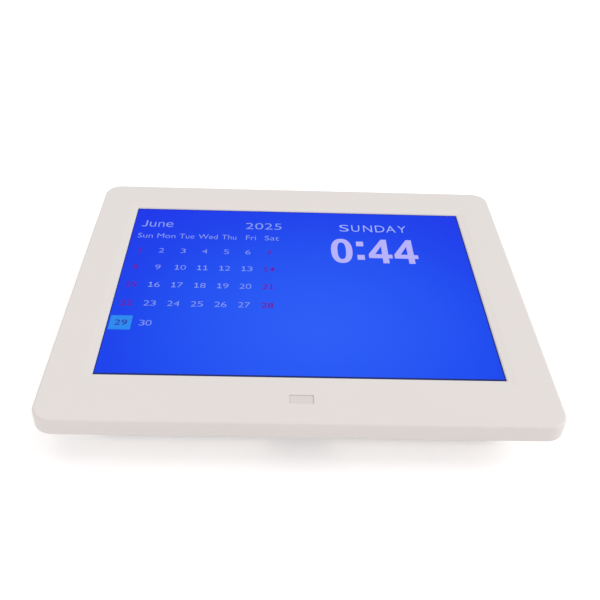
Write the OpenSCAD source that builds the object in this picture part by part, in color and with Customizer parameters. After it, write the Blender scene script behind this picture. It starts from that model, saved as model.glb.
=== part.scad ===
// A day clock: a calendar display in a slim white frame, with a folding leg behind it.
// The clock lies on its back. +X is right, +Y is up the screen, +Z comes out of the screen.
// The origin lies under the middle of the case, on the surface that the feet stand on.

/* [Case] */
// Width of the frame beside the screen
bezel_side = 18.75; // [18.5:0.25:24]
// Width of the frame above the screen
bezel_top = 21.35; // [20.5:0.05:26]
// Width of the frame below the screen
bezel_bottom = 25.25; // [24.6:0.05:31]
// Radius of the four corners of the case
corner_r = 7.7; // [5:0.1:9]
// Height of the frame's side walls
rim_h = 7.5; // [7.2:0.1:10]
// Thickness of the frame's side walls
side_t = 2; // [1.6:0.1:2.2]
// Thickness of the frame's front face
face_t = 1.8; // [1.6:0.1:2.1]
// Rounding of the front outer edge
front_round = 1; // [0.4:0.1:1.4]
// Gap between the front frame and the rear cover
shell_gap = 0.15; // [0.1:0.05:0.3]

/* [Hump on the back] */
// Depth of the hump behind the frame
hump_h = 12; // [11.6:0.1:15]
// Distance from the case's sides to the foot of the hump
hump_side = 14; // [12:0.5:16]
// Clearance between the display's fixings and the hump's end walls
hump_clear = 0.4; // [0.3:0.1:1.5]
// How far the hump's walls lean in over its depth
hump_taper = 3; // [1:0.5:4]
// Radius of the hump's corners at its foot
hump_r = 12; // [9:0.5:16]
// Rounding of the hump's outer edge
hump_round = 2; // [0.5:0.5:3]
// Thickness of the hump's walls and floor
cover_t = 2; // [1.6:0.1:2.2]
// Thickness of the rear cover's flange
flange_t = 1.8; // [1.4:0.1:2]

/* [Display] */
// Width of the display's active area, an 8-inch panel in a ratio of 4 to 3
active_w = 162; // [150:1:163]
// Height of the display's active area
active_h = 121.5; // [110:0.5:122]
// Black border that shows beside and above the active area
mask_border = 0.25; // [0.2:0.05:1.2]
// Black border that shows below the active area
mask_below = 1.15; // [0.2:0.05:1.5]
// Thickness of the frame's lip over the display
lip_t = 0.85; // [0.8:0.05:1]
// Width of the bevel along the lip
lip_bevel = 0.4; // [0.1:0.05:0.45]
// Width of the shallow slope around the screen
dish_w = 3.4; // [2:0.1:5]
// Depth of the shallow slope around the screen
dish_h = 0.3; // [0.15:0.05:0.35]
// Thickness of the foam gasket between the lip and the display
gasket_t = 0.25; // [0.15:0.05:0.4]
// Distance from the active area to the sides of the display module
module_side = 6.5; // [5:0.5:7]
// Distance from the active area to the top of the display module
module_top = 6; // [5:0.5:6]
// Distance from the active area to the bottom of the display module
module_bottom = 9.5; // [8:0.5:9.5]
// Thickness of the display module
module_t = 3.6; // [3:0.1:3.8]
// Thickness of the module's steel frame
module_wall = 0.4; // [0.3:0.05:0.6]
// Thickness of the display's two sheets of glass
glass_t = 1.2; // [1:0.1:1.4]
// Clearance around the display module
module_gap = 0.3; // [0.2:0.05:0.5]

/* [Remote control window] */
// Width of the window
window_w = 9.3; // [7:0.1:12]
// Height of the window
window_h = 4.65; // [3.5:0.05:5]
// Distance from the edge of the screen to the middle of the window
window_down = 12.4; // [12.2:0.1:12.7]
// How deep the window's face is set into the frame
window_sink = 0.3; // [0.1:0.05:0.5]

/* [Leg] */
// Distance from the hinge to the leg's free end
leg_l = 117; // [90:1:117]
// Width of the leg at its hinge
leg_w = 44; // [36:1:48]
// Width of the leg at its free end
leg_tip_w = 34; // [28:1:36]
// Thickness of the leg
leg_t = 3.6; // [3:0.1:3.8]
// Thickness of the leg's skin between its ribs
leg_skin = 1.6; // [1.2:0.1:2]
// Radius of the leg's hinge barrel
barrel_r = 2.7; // [2.4:0.1:2.8]
// Distance of the hinge above the middle of the case
hinge_up = 48; // [47:0.5:52]
// Distance of the hinge inside the hump's outer face
hinge_in = 3; // [2.9:0.1:3.2]
// Radius of the steel hinge pin
hinge_pin_r = 1.2; // [0.8:0.1:1.3]
// How far the leg opens, in degrees
leg_open = 35; // [20:1:45]
// Length of the heel that stops the leg
heel_l = 4; // [3.4:0.1:4.5]
// Clearance between the leg and its recess
leg_gap = 0.6; // [0.4:0.1:1]
// Width of the finger notch under the leg's free end
notch_w = 24; // [18:1:26]
// Depth of the finger notch
notch_h = 10; // [9:0.1:10.2]
// How far the finger notch reaches behind the leg's free end
notch_reach = 8.25; // [5:0.25:16]

/* [Keys] */
// Distance from the foot of the hump to the row of keys
key_in = 24; // [22:1:27]
// Distance from key to key
key_pitch = 13; // [12:0.5:13.5]
// Length of a key
key_l = 10; // [7:0.5:10]
// Width of a key
key_w = 6; // [5:0.5:7]
// How far a key stands out of the hump
key_proud = 0.8; // [0.3:0.1:1]
// Travel of a key
key_travel = 0.5; // [0.3:0.1:0.6]
// Clearance around a key
key_gap = 0.35; // [0.25:0.05:0.5]

/* [Inside] */
// Height of the posts that carry the main board
board_post_h = 8.5; // [8.4:0.1:8.8]
// Width of the main board
board_w = 96; // [90:1:96]
// Height of the main board
board_h = 66; // [64:1:68]
// Thickness of the main board
board_t = 1.6; // [1:0.1:1.7]
// Distance of the main board's middle above the middle of the case
board_up = 18; // [16:1:19]
// Radius of the loudspeaker
speaker_r = 15; // [12:0.5:17]
// Radius of one hole in the loudspeaker's grille
grille_hole_r = 1; // [0.6:0.1:1.2]
// Distance from hole to hole in the grille
grille_pitch = 4; // [3.4:0.1:4.5]
// Radius of the backup coin cell
cell_r = 10; // [8:0.5:10.5]
// Thickness of the backup coin cell
cell_t = 3.2; // [1.6:0.1:3.4]

/* [Fixings] */
// How far the rubber feet stand out of the hump
foot_h = 1.5; // [1.3:0.1:2.5]
// Radius of a rubber foot
foot_r = 5; // [3:0.5:6]
// Distance from the case's ends to the corner screws
screw_in = 8.2; // [8:0.1:8.5]
// Radius of a case screw's thread
screw_r = 1.15; // [0.8:0.05:1.3]
// Radius of the round entry of a wall keyhole
keyhole_r = 4; // [3:0.25:4.5]
// Width of a keyhole's slot
keyhole_slot_w = 4; // [3:0.25:5]
// Distance between the two keyholes
keyhole_pitch = 104; // [98:1:110]

/* [Hidden] */
$fn = 64;

// Levels, from the feet up to the front face
z_hump = foot_h;
z_floor = z_hump + cover_t;
z_flange = z_hump + hump_h;
z_flange_in = z_flange + flange_t;
z_front = z_flange + rim_h;
z_face_in = z_front - face_t;
z_lip = z_front - lip_t;
z_glass = z_lip - gasket_t;
z_module = z_glass - module_t;

// Screen, case, module and window
opening_w = active_w + 2 * mask_border;
opening_h = active_h + mask_border + mask_below;
case_w = opening_w + 2 * bezel_side;
case_h = opening_h + bezel_top + bezel_bottom;
opening_up = (bezel_bottom - bezel_top) / 2;
screen_up = opening_up + (mask_below - mask_border) / 2;
module_w = active_w + 2 * module_side;
module_h = active_h + module_top + module_bottom;
module_up = screen_up + (module_top - module_bottom) / 2;
window_up = opening_up - opening_h / 2 - window_down;
view_gap = 1.3;
module_window_w = opening_w + 2 * view_gap;
module_window_h = opening_h + 2 * view_gap;

// Colours
white_shell = [0.9, 0.88, 0.865];
white_key = [0.86, 0.84, 0.83];
screen_blue = [0.15, 0.33, 0.93];
board_green = [0.1, 0.38, 0.22];
steel = [0.72, 0.73, 0.75];
black = [0.08, 0.08, 0.09];

// ---- Shapes that several pieces share ----

function unit(v) = v / norm(v);

// The two tangent points and the centre of a round corner of radius r at point i
function round_corner(pts, i, r) =
  let (
    n = len(pts),
    a = unit(pts[(i + n - 1) % n] - pts[i]),
    b = unit(pts[(i + 1) % n] - pts[i]),
    half = acos(a * b) / 2
  )
  [pts[i] + a * r / tan(half), pts[i] + b * r / tan(half), pts[i] + unit(a + b) * r / sin(half)];

// A convex outline with a round corner at each point that has a radius
module rounded(pts, radii) {
  corners = [for (i = [0 : len(pts) - 1]) round_corner(pts, i, radii[i])];
  polygon([
    for (i = [0 : len(pts) - 1])
      each radii[i] > 0 ? [corners[i][0], corners[i][2], corners[i][1]] : [pts[i]]
  ]);
  for (i = [0 : len(pts) - 1])
    if (radii[i] > 0) {
      centre = corners[i][2];
      translate(centre)
        intersection() {
          circle(r = radii[i]);
          polygon([[0, 0], 2 * (corners[i][0] - centre), 2 * (pts[i] - centre), 2 * (corners[i][1] - centre)]);
        }
    }
}

function rectangle(w, h) = [[-w / 2, -h / 2], [w / 2, -h / 2], [w / 2, h / 2], [-w / 2, h / 2]];

// A flat plate with round corners, from level z0 to level z1
module plate(w, h, r, z0, z1) {
  translate([0, 0, z0])
    linear_extrude(height = z1 - z0)
      rounded(rectangle(w, h), [r, r, r, r]);
}

// A plate without round corners
module block(w, h, z0, z1) {
  translate([-w / 2, -h / 2, z0])
    cube([w, h, z1 - z0]);
}

// A round-cornered body whose walls lean in by taper towards z0, with its edges rounded at z0 and z1
module moulded(w, h, r, z0, z1, taper, round0, round1) {
  // The section of the wall, from the middle of the corner's round outwards
  module wall_section() {
    intersection() {
      rounded(
        [[-r, z0], [r - taper, z0], [r, z1], [-r, z1]],
        [0, round0, round1, 0]
      );
      translate([0, z0]) square([r, z1 - z0]);
    }
  }
  mid_w = w / 2 - r;
  mid_h = h / 2 - r;
  block(2 * mid_w, 2 * mid_h, z0, z1);
  for (side = [0, 1]) {
    mirror([side, 0, 0])
      translate([mid_w, 0, 0])
        rotate([90, 0, 0])
          linear_extrude(height = 2 * mid_h, center = true) wall_section();
    mirror([0, side, 0])
      translate([0, mid_h, 0])
        rotate([90, 0, 90])
          linear_extrude(height = 2 * mid_w, center = true) wall_section();
  }
  for (turn = [0 : 3])
    translate([(turn == 0 || turn == 3 ? 1 : -1) * mid_w, (turn < 2 ? 1 : -1) * mid_h, 0])
      rotate([0, 0, 90 * turn])
        rotate_extrude(angle = 90) wall_section();
}

// A ring wall with square corners, from level z0 to level z1
module ring_wall(w, h, t, z0, z1) {
  difference() {
    block(w, h, z0, z1);
    block(w - 2 * t, h - 2 * t, z0 - 1, z1 + 1);
  }
}

module tube(r_out, r_in, z0, z1) {
  translate([0, 0, z0])
    difference() {
      cylinder(r = r_out, h = z1 - z0);
      translate([0, 0, -1]) cylinder(r = r_in, h = z1 - z0 + 2);
    }
}

module rod(r, z0, z1) {
  translate([0, 0, z0]) cylinder(r = r, h = z1 - z0);
}

// A screw that points along +Z, with the underside of its cross-slotted head at the origin
module screw(head_r, head_h, thread_r, thread_l) {
  slot_w = 0.5;
  difference() {
    rod(head_r, -head_h, 0);
    for (turn = [0, 90])
      rotate([0, 0, turn])
        block(head_r * 1.2, slot_w, -head_h - 1, -head_h / 2);
  }
  rod(thread_r, 0, thread_l);
}

// The outline of a thin strip that follows pts, t thick upwards
function band(pts, t) = concat(pts, [for (i = [len(pts) - 1 : -1 : 0]) pts[i] + [0, t]]);

// ---- Front frame and display ----

inner_w = case_w - 2 * side_t;
inner_h = case_h - 2 * side_t;
fit = 0.05;
overlap = 0.2;

screw_head_r = 2.3;
screw_head_h = 1.5;
boss_r = 3;
pad_h = 3.1;
z_boss = z_flange + pad_h;
z_screw_seat = z_flange + screw_head_h + 0.1;
case_screw_l = z_face_in + 0.3 - z_screw_seat;
rail_t = 1.2;
tongue_t = 1.2;
screw_x = (module_w / 2 + module_gap + rail_t + inner_w / 2 - shell_gap - tongue_t) / 2;
case_screw_points = [
  for (sx = [-1, 1], sy = [-1, 0, 1])
    [sx * screw_x, sy * (case_h / 2 - screw_in), 0]
];

small_head_r = 1.9;
small_head_h = 1.2;
small_thread_r = 0.9;

bracket_t = 0.8;
bracket_w = 10;
bracket_reach = 5;
bracket_out = 3.3;
bracket_x = 60;
bracket_boss_r = 2.4;
bracket_points = [
  for (sx = [-1, 1], sy = [-1, 1])
    [sx * bracket_x, module_up + sy * (module_h / 2 + bracket_out), 0]
];

ir_board_w = 26;
ir_board_h = 6.6;
ir_board_t = 1;
ir_boss_l = 2.3;
ir_boss_r = 1.9;
ir_boss_x = 10;
z_ir_board = z_face_in - ir_boss_l - ir_board_t;
ir_points = [for (sx = [-1, 1]) [sx * ir_boss_x, window_up, 0]];

// Hump
hump_w = case_w - 2 * hump_side;
hump_l = module_h + 2 * (abs(module_up) + bracket_out + small_head_r + hump_clear + cover_t);

// The opening over the screen, with a bevel on its edge and a shallow slope down to it
module screen_opening() {
  z_edge = z_front - dish_h;
  module flare(span) {
    bevel_x = span / 2 + lip_bevel;
    slope_x = bevel_x + 2 * dish_w;
    polygon([
      [-span / 2, z_edge - lip_bevel], [span / 2, z_edge - lip_bevel],
      [bevel_x, z_edge], [slope_x, z_front + dish_h],
      [-slope_x, z_front + dish_h], [-bevel_x, z_edge]
    ]);
  }
  translate([0, opening_up, 0]) {
    block(opening_w, opening_h, z_lip - 1, z_edge - lip_bevel / 2);
    intersection() {
      rotate([90, 0, 0])
        linear_extrude(height = case_h, center = true) flare(opening_w);
      rotate([90, 0, 90])
        linear_extrude(height = case_w, center = true) flare(opening_h);
    }
  }
}

// Low walls on the back of the front face that hold the display module in place
module module_rails() {
  rail_h = 1.7;
  open_w = 2 * bracket_x - 8;
  difference() {
    translate([0, module_up, 0])
      ring_wall(
        module_w + 2 * (module_gap + rail_t), module_h + 2 * (module_gap + rail_t), rail_t,
        z_face_in - rail_h, z_face_in + overlap
      );
    translate([0, module_up - module_h / 2, 0])
      block(open_w, 8, z_face_in - rail_h - 1, z_face_in + 1);
  }
}

module front_bezel() {
  rear_round = 0.3;
  color(white_shell)
    difference() {
      union() {
        difference() {
          moulded(case_w, case_h, corner_r, z_flange, z_front, 0, rear_round, front_round);
          plate(inner_w, inner_h, corner_r - side_t, z_flange - 1, z_face_in);
        }
        for (p = case_screw_points)
          translate(p) rod(boss_r, z_boss, z_face_in + overlap);
        for (p = bracket_points)
          translate(p) rod(bracket_boss_r, z_module, z_face_in + overlap);
        for (p = ir_points)
          translate(p) rod(ir_boss_r, z_ir_board + ir_board_t, z_face_in + overlap);
        module_rails();
      }
      translate([0, module_up, 0])
        block(module_w + 2 * module_gap, module_h + 2 * module_gap, z_face_in - overlap, z_lip);
      screen_opening();
      translate([0, window_up, 0]) block(window_w, window_h, z_face_in - 1, z_front + 1);
      for (p = case_screw_points)
        translate(p) rod(screw_r + fit, z_boss - 1, z_face_in + 0.5);
      for (p = bracket_points)
        translate(p) rod(small_thread_r + fit, z_module - 1, z_face_in + 0.3);
      for (p = ir_points)
        translate(p) rod(small_thread_r + fit, z_ir_board, z_face_in);
    }
}

module ir_window() {
  lip_w = 1.1;
  color([0.86, 0.82, 0.82]) {
    translate([0, window_up, 0]) {
      block(window_w - 2 * fit, window_h - 2 * fit, z_face_in, z_front - window_sink);
      block(window_w + 2 * lip_w, window_h + 2 * lip_w, z_face_in - 0.6, z_face_in);
    }
  }
}

module screen_gasket() {
  margin = 0.5;
  hidden_by = 1.2;
  color(black)
    difference() {
      translate([0, module_up, 0])
        block(module_w - 2 * margin, module_h - 2 * margin, z_glass, z_lip);
      translate([0, opening_up, 0])
        block(opening_w + 2 * hidden_by, opening_h + 2 * hidden_by, z_glass - 1, z_lip + 1);
    }
}

module_lip_t = 0.3;
z_glass_low = z_glass - glass_t;

// The stamped steel frame that holds the display's layers together
module lcd_frame() {
  color(steel)
    difference() {
      translate([0, module_up, 0]) {
        ring_wall(module_w, module_h, module_wall, z_module, z_glass);
        block(module_w, module_h, z_glass - module_lip_t, z_glass);
      }
      translate([0, opening_up, 0])
        block(module_window_w, module_window_h, z_glass - module_lip_t - 1, z_glass + 1);
    }
}

inside_gap = 0.1;
layer_w = module_w - 2 * (module_wall + inside_gap);
layer_h = module_h - 2 * (module_wall + inside_gap);

module lcd_glass() {
  color(screen_blue) {
    translate([0, module_up, 0])
      block(layer_w, layer_h, z_glass_low, z_glass - module_lip_t);
    translate([0, opening_up, 0])
      block(
        module_window_w - 2 * inside_gap, module_window_h - 2 * inside_gap,
        z_glass - module_lip_t, z_glass
      );
  }
}

back_plate_t = 0.4;

// The light guide with its diffusing sheets and its strip of lamps
module lcd_backlight() {
  color([0.95, 0.95, 0.97])
    translate([0, module_up, 0])
      block(layer_w, layer_h, z_module + back_plate_t, z_glass_low);
}

module lcd_back_plate() {
  color(steel)
    translate([0, module_up, 0])
      block(layer_w, layer_h, z_module, z_module + back_plate_t);
}

module lcd_brackets() {
  color(steel)
    for (p = bracket_points) {
      side = sign(p[1] - module_up);
      length = bracket_out + bracket_reach + bracket_boss_r;
      middle = (bracket_boss_r - bracket_out - bracket_reach) / 2;
      translate(p)
        difference() {
          translate([0, side * middle, 0])
            plate(bracket_w, length, 1.2, z_module - bracket_t, z_module);
          rod(small_thread_r + fit, z_module - bracket_t - 1, z_module + 1);
        }
    }
}

module bracket_screws() {
  color(steel)
    for (p = bracket_points)
      translate(p + [0, 0, z_module - bracket_t])
        screw(small_head_r, small_head_h, small_thread_r, z_face_in - z_module + bracket_t);
}

module ir_board() {
  color(board_green)
    difference() {
      translate([0, window_up, 0])
        block(ir_board_w, ir_board_h, z_ir_board, z_ir_board + ir_board_t);
      for (p = ir_points)
        translate(p) rod(small_thread_r + fit, z_ir_board - 1, z_ir_board + ir_board_t + 1);
    }
}

// The receiver for the remote control, with the round lens on its face
module ir_receiver() {
  body_h = 1.1;
  z_body = z_ir_board + ir_board_t;
  color(black)
    translate([0, window_up, 0]) {
      block(6.2, 4, z_body, z_body + body_h);
      translate([0, 0, z_body + body_h]) cylinder(r1 = 1.6, r2 = 0.9, h = 0.5);
    }
}

module ir_screws() {
  color(steel)
    for (p = ir_points)
      translate(p + [0, 0, z_ir_board])
        screw(small_head_r - 0.2, small_head_h, small_thread_r, ir_board_t + ir_boss_l - 0.2);
}

// ---- Rear cover ----

tub_skin = 1.8;
z_leg = z_hump + 0.1;
z_axis = z_hump + hinge_in;
z_recess = z_leg + leg_t + 0.5;
leg_end = hinge_up - leg_l;
barrel_gap = 0.5;
heel_w = 24;
heel_drop = 0.5;
heel_sweep = norm([heel_l, z_axis - z_leg]);
z_heel_stop = z_axis + heel_l * sin(leg_open) - heel_drop * cos(leg_open) + 0.3;
z_notch = z_hump + notch_h;
notch_y0 = -hump_l / 2 - 2;
notch_y1 = leg_end + notch_reach;
tip_pad_w = 16;
tip_pad_t = 2.2;
tip_pad_in = 1.2;
tip_pad_out = 0.8;

keys_up = 3;
key_x = -(hump_w / 2 - key_in);
key_names = ["power", "menu", "up", "left", "right", "down", "exit"];
key_lip = 1.2;
key_lip_t = 0.8;
z_key_lip = z_floor + 0.3;
z_key_top = z_key_lip + key_lip_t;
stem_r = 1.6;
stem_l = 2;
switch_h = 3.5;
z_switch = z_key_top + 1.2;
z_key_board = z_switch + switch_h;
key_board_t = 1.2;
key_board_w = 14;
key_post_y = 3 * key_pitch + 7.2;
key_post_r = 2.2;
key_post_points = [for (sy = [-1, 1]) [key_x, keys_up + sy * key_post_y, 0]];

function key_y(i) = keys_up + (3 - i) * key_pitch;

z_board = z_floor + board_post_h;
z_board_top = z_board + board_t;
port_x = hump_w / 2 - hump_taper + 0.4;
port_gap = 0.4;
board_x1 = port_x - 1;
board_x0 = board_x1 - board_w;
board_y0 = board_up - board_h / 2;
board_y1 = board_up + board_h / 2;
board_post_r = 2.5;
board_points = [
  [board_x0 + 4, board_y0 + 4.5, 0], [board_x0 + 4, board_y1 - 4, 0],
  [board_x1 - 4, board_y1 - 3.8, 0], [board_x1 - 32, board_y0 + 4.5, 0]
];

jack_l = 14;
jack_w = 9;
jack_h = 8.4;
jack_bore_r = 3.15;
jack_bore_l = 11;
jack_pin_r = 1;
jack_pin_base_r = 1.3;
jack_pin_in = 1;
jack_y = board_up + 20;
z_jack = z_board - jack_h / 2;

usb_l = 14;
usb_w = 13.3;
usb_h = 5.9;
usb_wall = 0.4;
usb_y = board_up + 6;

sd_l = 28;
sd_w = 27;
sd_h = 2.9;
sd_slot_w = 24.4;
sd_slot_h = 2.2;
sd_y = board_up - 17;

speaker_x = hump_w / 2 - 32;
speaker_y = -(hump_l / 2 - 30.75);
speaker_rib_h = 3;
terminal_x = -10;
terminal_y = 8;
terminal_h = speaker_rib_h + 0.3;
foot_inset_x = 16;
foot_inset_y = 14.75;
foot_seat = 0.6;
foot_points = [
  for (sx = [-1, 1], sy = [-1, 1])
    [sx * (hump_w / 2 - foot_inset_x), sy * (hump_l / 2 - foot_inset_y), 0]
];
keyhole_y = hump_l / 2 - 18.75;
keyhole_run = 7;
keyhole_points = [for (sx = [-1, 1]) [sx * keyhole_pitch / 2, keyhole_y, 0]];

// How far the hump's outer wall leans in at level z, counted from its foot
function hump_lean(z) = round(1000 * hump_taper * (z_flange - z) / hump_h) / 1000;

// The hump's outer form, grown inwards by t and starting at level z0
module hump_form(t, z0, z1, edge_round) {
  moulded(
    hump_w - 2 * t - 2 * hump_lean(z1), hump_l - 2 * t - 2 * hump_lean(z1), hump_r - t,
    z0, z1, hump_lean(z0) - hump_lean(z1), edge_round, 0
  );
}

// The leg's outline, grown by gap and longer by extra at its tip, as far as the hinge
module leg_outline(gap, extra = 0, tip_round = 4) {
  tip_y = leg_end - gap - extra;
  rounded(
    [
      [-leg_tip_w / 2 - gap, tip_y], [leg_tip_w / 2 + gap, tip_y],
      [leg_w / 2 + gap, hinge_up], [-leg_w / 2 - gap, hinge_up]
    ],
    [tip_round, tip_round, 0, 0]
  );
}

module along_hinge(r, length) {
  translate([0, hinge_up, z_axis])
    rotate([0, 90, 0])
      cylinder(r = r, h = length, center = true);
}

// The inner skin of the leg's recess, its hinge housing and its finger notch
module tub_skins() {
  pocket_r = barrel_r + barrel_gap;
  translate([0, 0, z_hump + 0.5])
    linear_extrude(height = z_recess + tub_skin - z_hump - 0.5)
      leg_outline(leg_gap + tub_skin, tip_pad_out, 0);
  housing_y0 = hinge_up - pocket_r - tub_skin;
  housing_y1 = hinge_up + heel_sweep + 0.4 + tub_skin;
  translate([0, (housing_y0 + housing_y1) / 2, 0])
    block(
      leg_w + 2 * (leg_gap + tub_skin), housing_y1 - housing_y0,
      z_hump + 0.5, z_axis + pocket_r + tub_skin
    );
  intersection() {
    translate([0, (notch_y0 + notch_y1) / 2, 0])
      block(
        notch_w + 2 * tub_skin, notch_y1 - notch_y0 + 2 * tub_skin,
        z_hump + 0.5, z_notch + tub_skin
      );
    hump_form(0.3, z_hump, z_flange_in, hump_round);
  }
}

module leg_recess() {
  pocket_r = barrel_r + barrel_gap;
  recess_w = leg_w + 2 * leg_gap;
  translate([0, 0, z_hump - 1])
    linear_extrude(height = z_recess - z_hump + 1) leg_outline(leg_gap, tip_pad_out);
  along_hinge(pocket_r, recess_w);
  translate([0, hinge_up, 0])
    block(recess_w, 2 * pocket_r, z_hump - 1, z_axis);
  translate([0, hinge_up + (heel_sweep + 0.4) / 2, 0])
    block(heel_w + 2 * leg_gap, heel_sweep + 0.4, z_hump - 1, z_heel_stop);
  translate([0, (notch_y0 + notch_y1) / 2, 0])
    block(notch_w, notch_y1 - notch_y0, z_hump - 1, z_notch);
  along_hinge(hinge_pin_r + 0.02, recess_w + 2 * tub_skin + 1);
}

// A wall keyhole: a round entry with a slot above it
module keyhole_cut() {
  rod(keyhole_r, z_hump - 1, z_floor + overlap);
  translate([0, keyhole_run / 2, 0])
    block(keyhole_slot_w, keyhole_run, z_hump - 1, z_floor + overlap);
  translate([0, keyhole_run, 0]) rod(keyhole_slot_w / 2, z_hump - 1, z_floor + overlap);
}

// The closed pocket behind a keyhole, or its hollow with t = 0
module keyhole_pocket(t) {
  pocket_w = 2 * (keyhole_r + 1);
  pocket_l = 2 * keyhole_r + keyhole_run + 1.5;
  pocket_h = 3.3;
  translate([0, keyhole_run / 2, 0])
    block(pocket_w + 2 * t, pocket_l + 2 * t, z_floor - (t > 0 ? overlap : 0), z_floor + pocket_h + t);
}

grille_r = speaker_r - 3.8;
grille_rows = ceil(grille_r / grille_pitch * 2 / sqrt(3));

module grille_holes() {
  for (row = [-grille_rows : grille_rows], col = [-grille_rows : grille_rows]) {
    x = grille_pitch * (col + (row % 2 == 0 ? 0 : 0.5));
    y = grille_pitch * row * sqrt(3) / 2;
    if (norm([x, y]) < grille_r)
      translate([x, y, 0]) rod(grille_hole_r, z_hump - 1, z_floor + 1);
  }
}

vent_slots = 6;
vent_l = 18;
vent_w = 1.8;
vent_pitch = 4;

module vent_slot_row() {
  for (i = [0 : vent_slots - 1])
    translate([0, (i - (vent_slots - 1) / 2) * vent_pitch, 0])
      plate(vent_l, vent_w, vent_w / 2 - 0.05, z_hump - 1, z_floor + 1);
}

module port_cuts() {
  depth = 12;
  translate([port_x, jack_y, 0])
    block(depth, jack_w + 2 * port_gap, z_board - jack_h - port_gap, z_board + port_gap);
  translate([port_x, usb_y, 0])
    block(depth, usb_w + 2 * port_gap, z_board - usb_h - port_gap, z_board + port_gap);
  translate([port_x, sd_y, 0])
    block(depth, sd_w + 2 * port_gap, z_board - sd_h - port_gap, z_board + port_gap);
}

module rear_cover() {
  tongue_h = 2.4;
  flange_w = inner_w - 2 * shell_gap;
  flange_l = inner_h - 2 * shell_gap;
  flange_r = corner_r - side_t - shell_gap;
  pad_r = 3.6;
  vent_x = -(hump_w / 2 - 45);
  vent_y = -(hump_l / 2 - 25);
  color(white_shell)
    difference() {
      union() {
        difference() {
          union() {
            plate(flange_w, flange_l, flange_r, z_flange, z_flange_in);
            hump_form(0, z_hump, z_flange_in - overlap, hump_round);
          }
          hump_form(cover_t, z_floor, z_flange_in + 1, hump_round / 2);
        }
        difference() {
          plate(flange_w, flange_l, flange_r, z_flange_in - overlap, z_flange_in + tongue_h);
          plate(
            flange_w - 2 * tongue_t, flange_l - 2 * tongue_t, flange_r - tongue_t,
            z_flange_in - 1, z_flange_in + tongue_h + 1
          );
        }
        tub_skins();
        for (p = case_screw_points)
          translate(p) rod(pad_r, z_flange + overlap, z_boss);
        for (p = board_points)
          translate(p) rod(board_post_r, z_floor - overlap, z_board);
        for (p = key_post_points)
          translate(p) rod(key_post_r, z_floor - overlap, z_key_board);
        for (p = keyhole_points)
          translate(p) keyhole_pocket(1.2);
        translate([speaker_x, speaker_y, 0])
          tube(speaker_r + 1.5, speaker_r + 0.2, z_floor - overlap, z_floor + speaker_rib_h);
      }
      leg_recess();
      for (p = keyhole_points)
        translate(p) {
          keyhole_cut();
          keyhole_pocket(0);
        }
      for (p = foot_points)
        translate(p) rod(foot_r + 0.1, z_hump - 1, z_hump + foot_seat);
      for (i = [0 : len(key_names) - 1])
        translate([key_x, key_y(i), 0])
          plate(key_l + 2 * key_gap, key_w + 2 * key_gap, key_w / 2, z_hump - 1, z_floor + 1);
      translate([speaker_x, speaker_y, 0]) grille_holes();
      translate([vent_x, vent_y, 0]) vent_slot_row();
      port_cuts();
      for (p = case_screw_points)
        translate(p) {
          rod(screw_head_r + 0.3, z_flange - 1, z_screw_seat);
          rod(screw_r + 0.2, z_flange, z_boss + 1);
        }
      for (p = board_points)
        translate(p) rod(small_thread_r + fit, z_board - 2.2, z_board + 1);
      for (p = key_post_points)
        translate(p) rod(small_thread_r + fit, z_key_board - 3, z_key_board + 1);
    }
}

module case_screws() {
  color(steel)
    for (p = case_screw_points)
      translate(p + [0, 0, z_screw_seat])
        screw(screw_head_r, screw_head_h, screw_r, case_screw_l);
}

module rubber_feet() {
  bevel = 0.5;
  color([0.2, 0.2, 0.21])
    for (p = foot_points)
      translate(p) {
        cylinder(r1 = foot_r - bevel, r2 = foot_r, h = bevel);
        rod(foot_r, bevel, z_hump + foot_seat);
      }
}

// ---- Leg ----

module leg_ribs() {
  rib_t = 1.2;
  for (x = [-leg_w / 6, leg_w / 6])
    translate([x, hinge_up - leg_l / 2, 0])
      block(rib_t, leg_l, z_leg, z_leg + leg_t + 1);
  for (i = [1 : 5])
    translate([0, hinge_up - leg_l * i / 6, 0])
      block(leg_w, rib_t, z_leg, z_leg + leg_t + 1);
}

module stand_leg() {
  rim = 2;
  washer_space = 0.6;
  color(white_shell)
    difference() {
      union() {
        difference() {
          translate([0, 0, z_leg])
            linear_extrude(height = leg_t) leg_outline(0);
          difference() {
            translate([0, 0, z_leg + leg_skin])
              linear_extrude(height = leg_t)
                intersection() {
                  leg_outline(-rim);
                  translate([-leg_w / 2, leg_end])
                    square([leg_w, leg_l - barrel_r - rim]);
                }
            leg_ribs();
          }
        }
        along_hinge(barrel_r, leg_w - 2 * washer_space);
        translate([0, hinge_up + heel_l / 2, 0])
          block(heel_w, heel_l, z_leg, z_axis - heel_drop);
      }
      for (sx = [-1, 1])
        translate([sx * leg_w / 2, hinge_up, 0])
          block(2 * washer_space, 2 * (barrel_r + 1), z_leg - 1, z_leg + leg_t + 1);
      along_hinge(hinge_pin_r + 0.06, leg_w + 1);
      translate([0, leg_end + tip_pad_in / 2 - 0.5, 0])
        block(tip_pad_w, tip_pad_in + 1, z_leg + (leg_t - tip_pad_t) / 2, z_leg + (leg_t + tip_pad_t) / 2);
    }
}

// The rubber strip in the leg's tip
module stand_tip_pad() {
  color([0.2, 0.2, 0.21])
    translate([0, leg_end + (tip_pad_in - tip_pad_out) / 2, 0])
      block(
        tip_pad_w, tip_pad_in + tip_pad_out,
        z_leg + (leg_t - tip_pad_t) / 2, z_leg + (leg_t + tip_pad_t) / 2
      );
}

module hinge_pin() {
  color(steel)
    along_hinge(hinge_pin_r, leg_w + 2 * (leg_gap + tub_skin));
}

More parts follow.
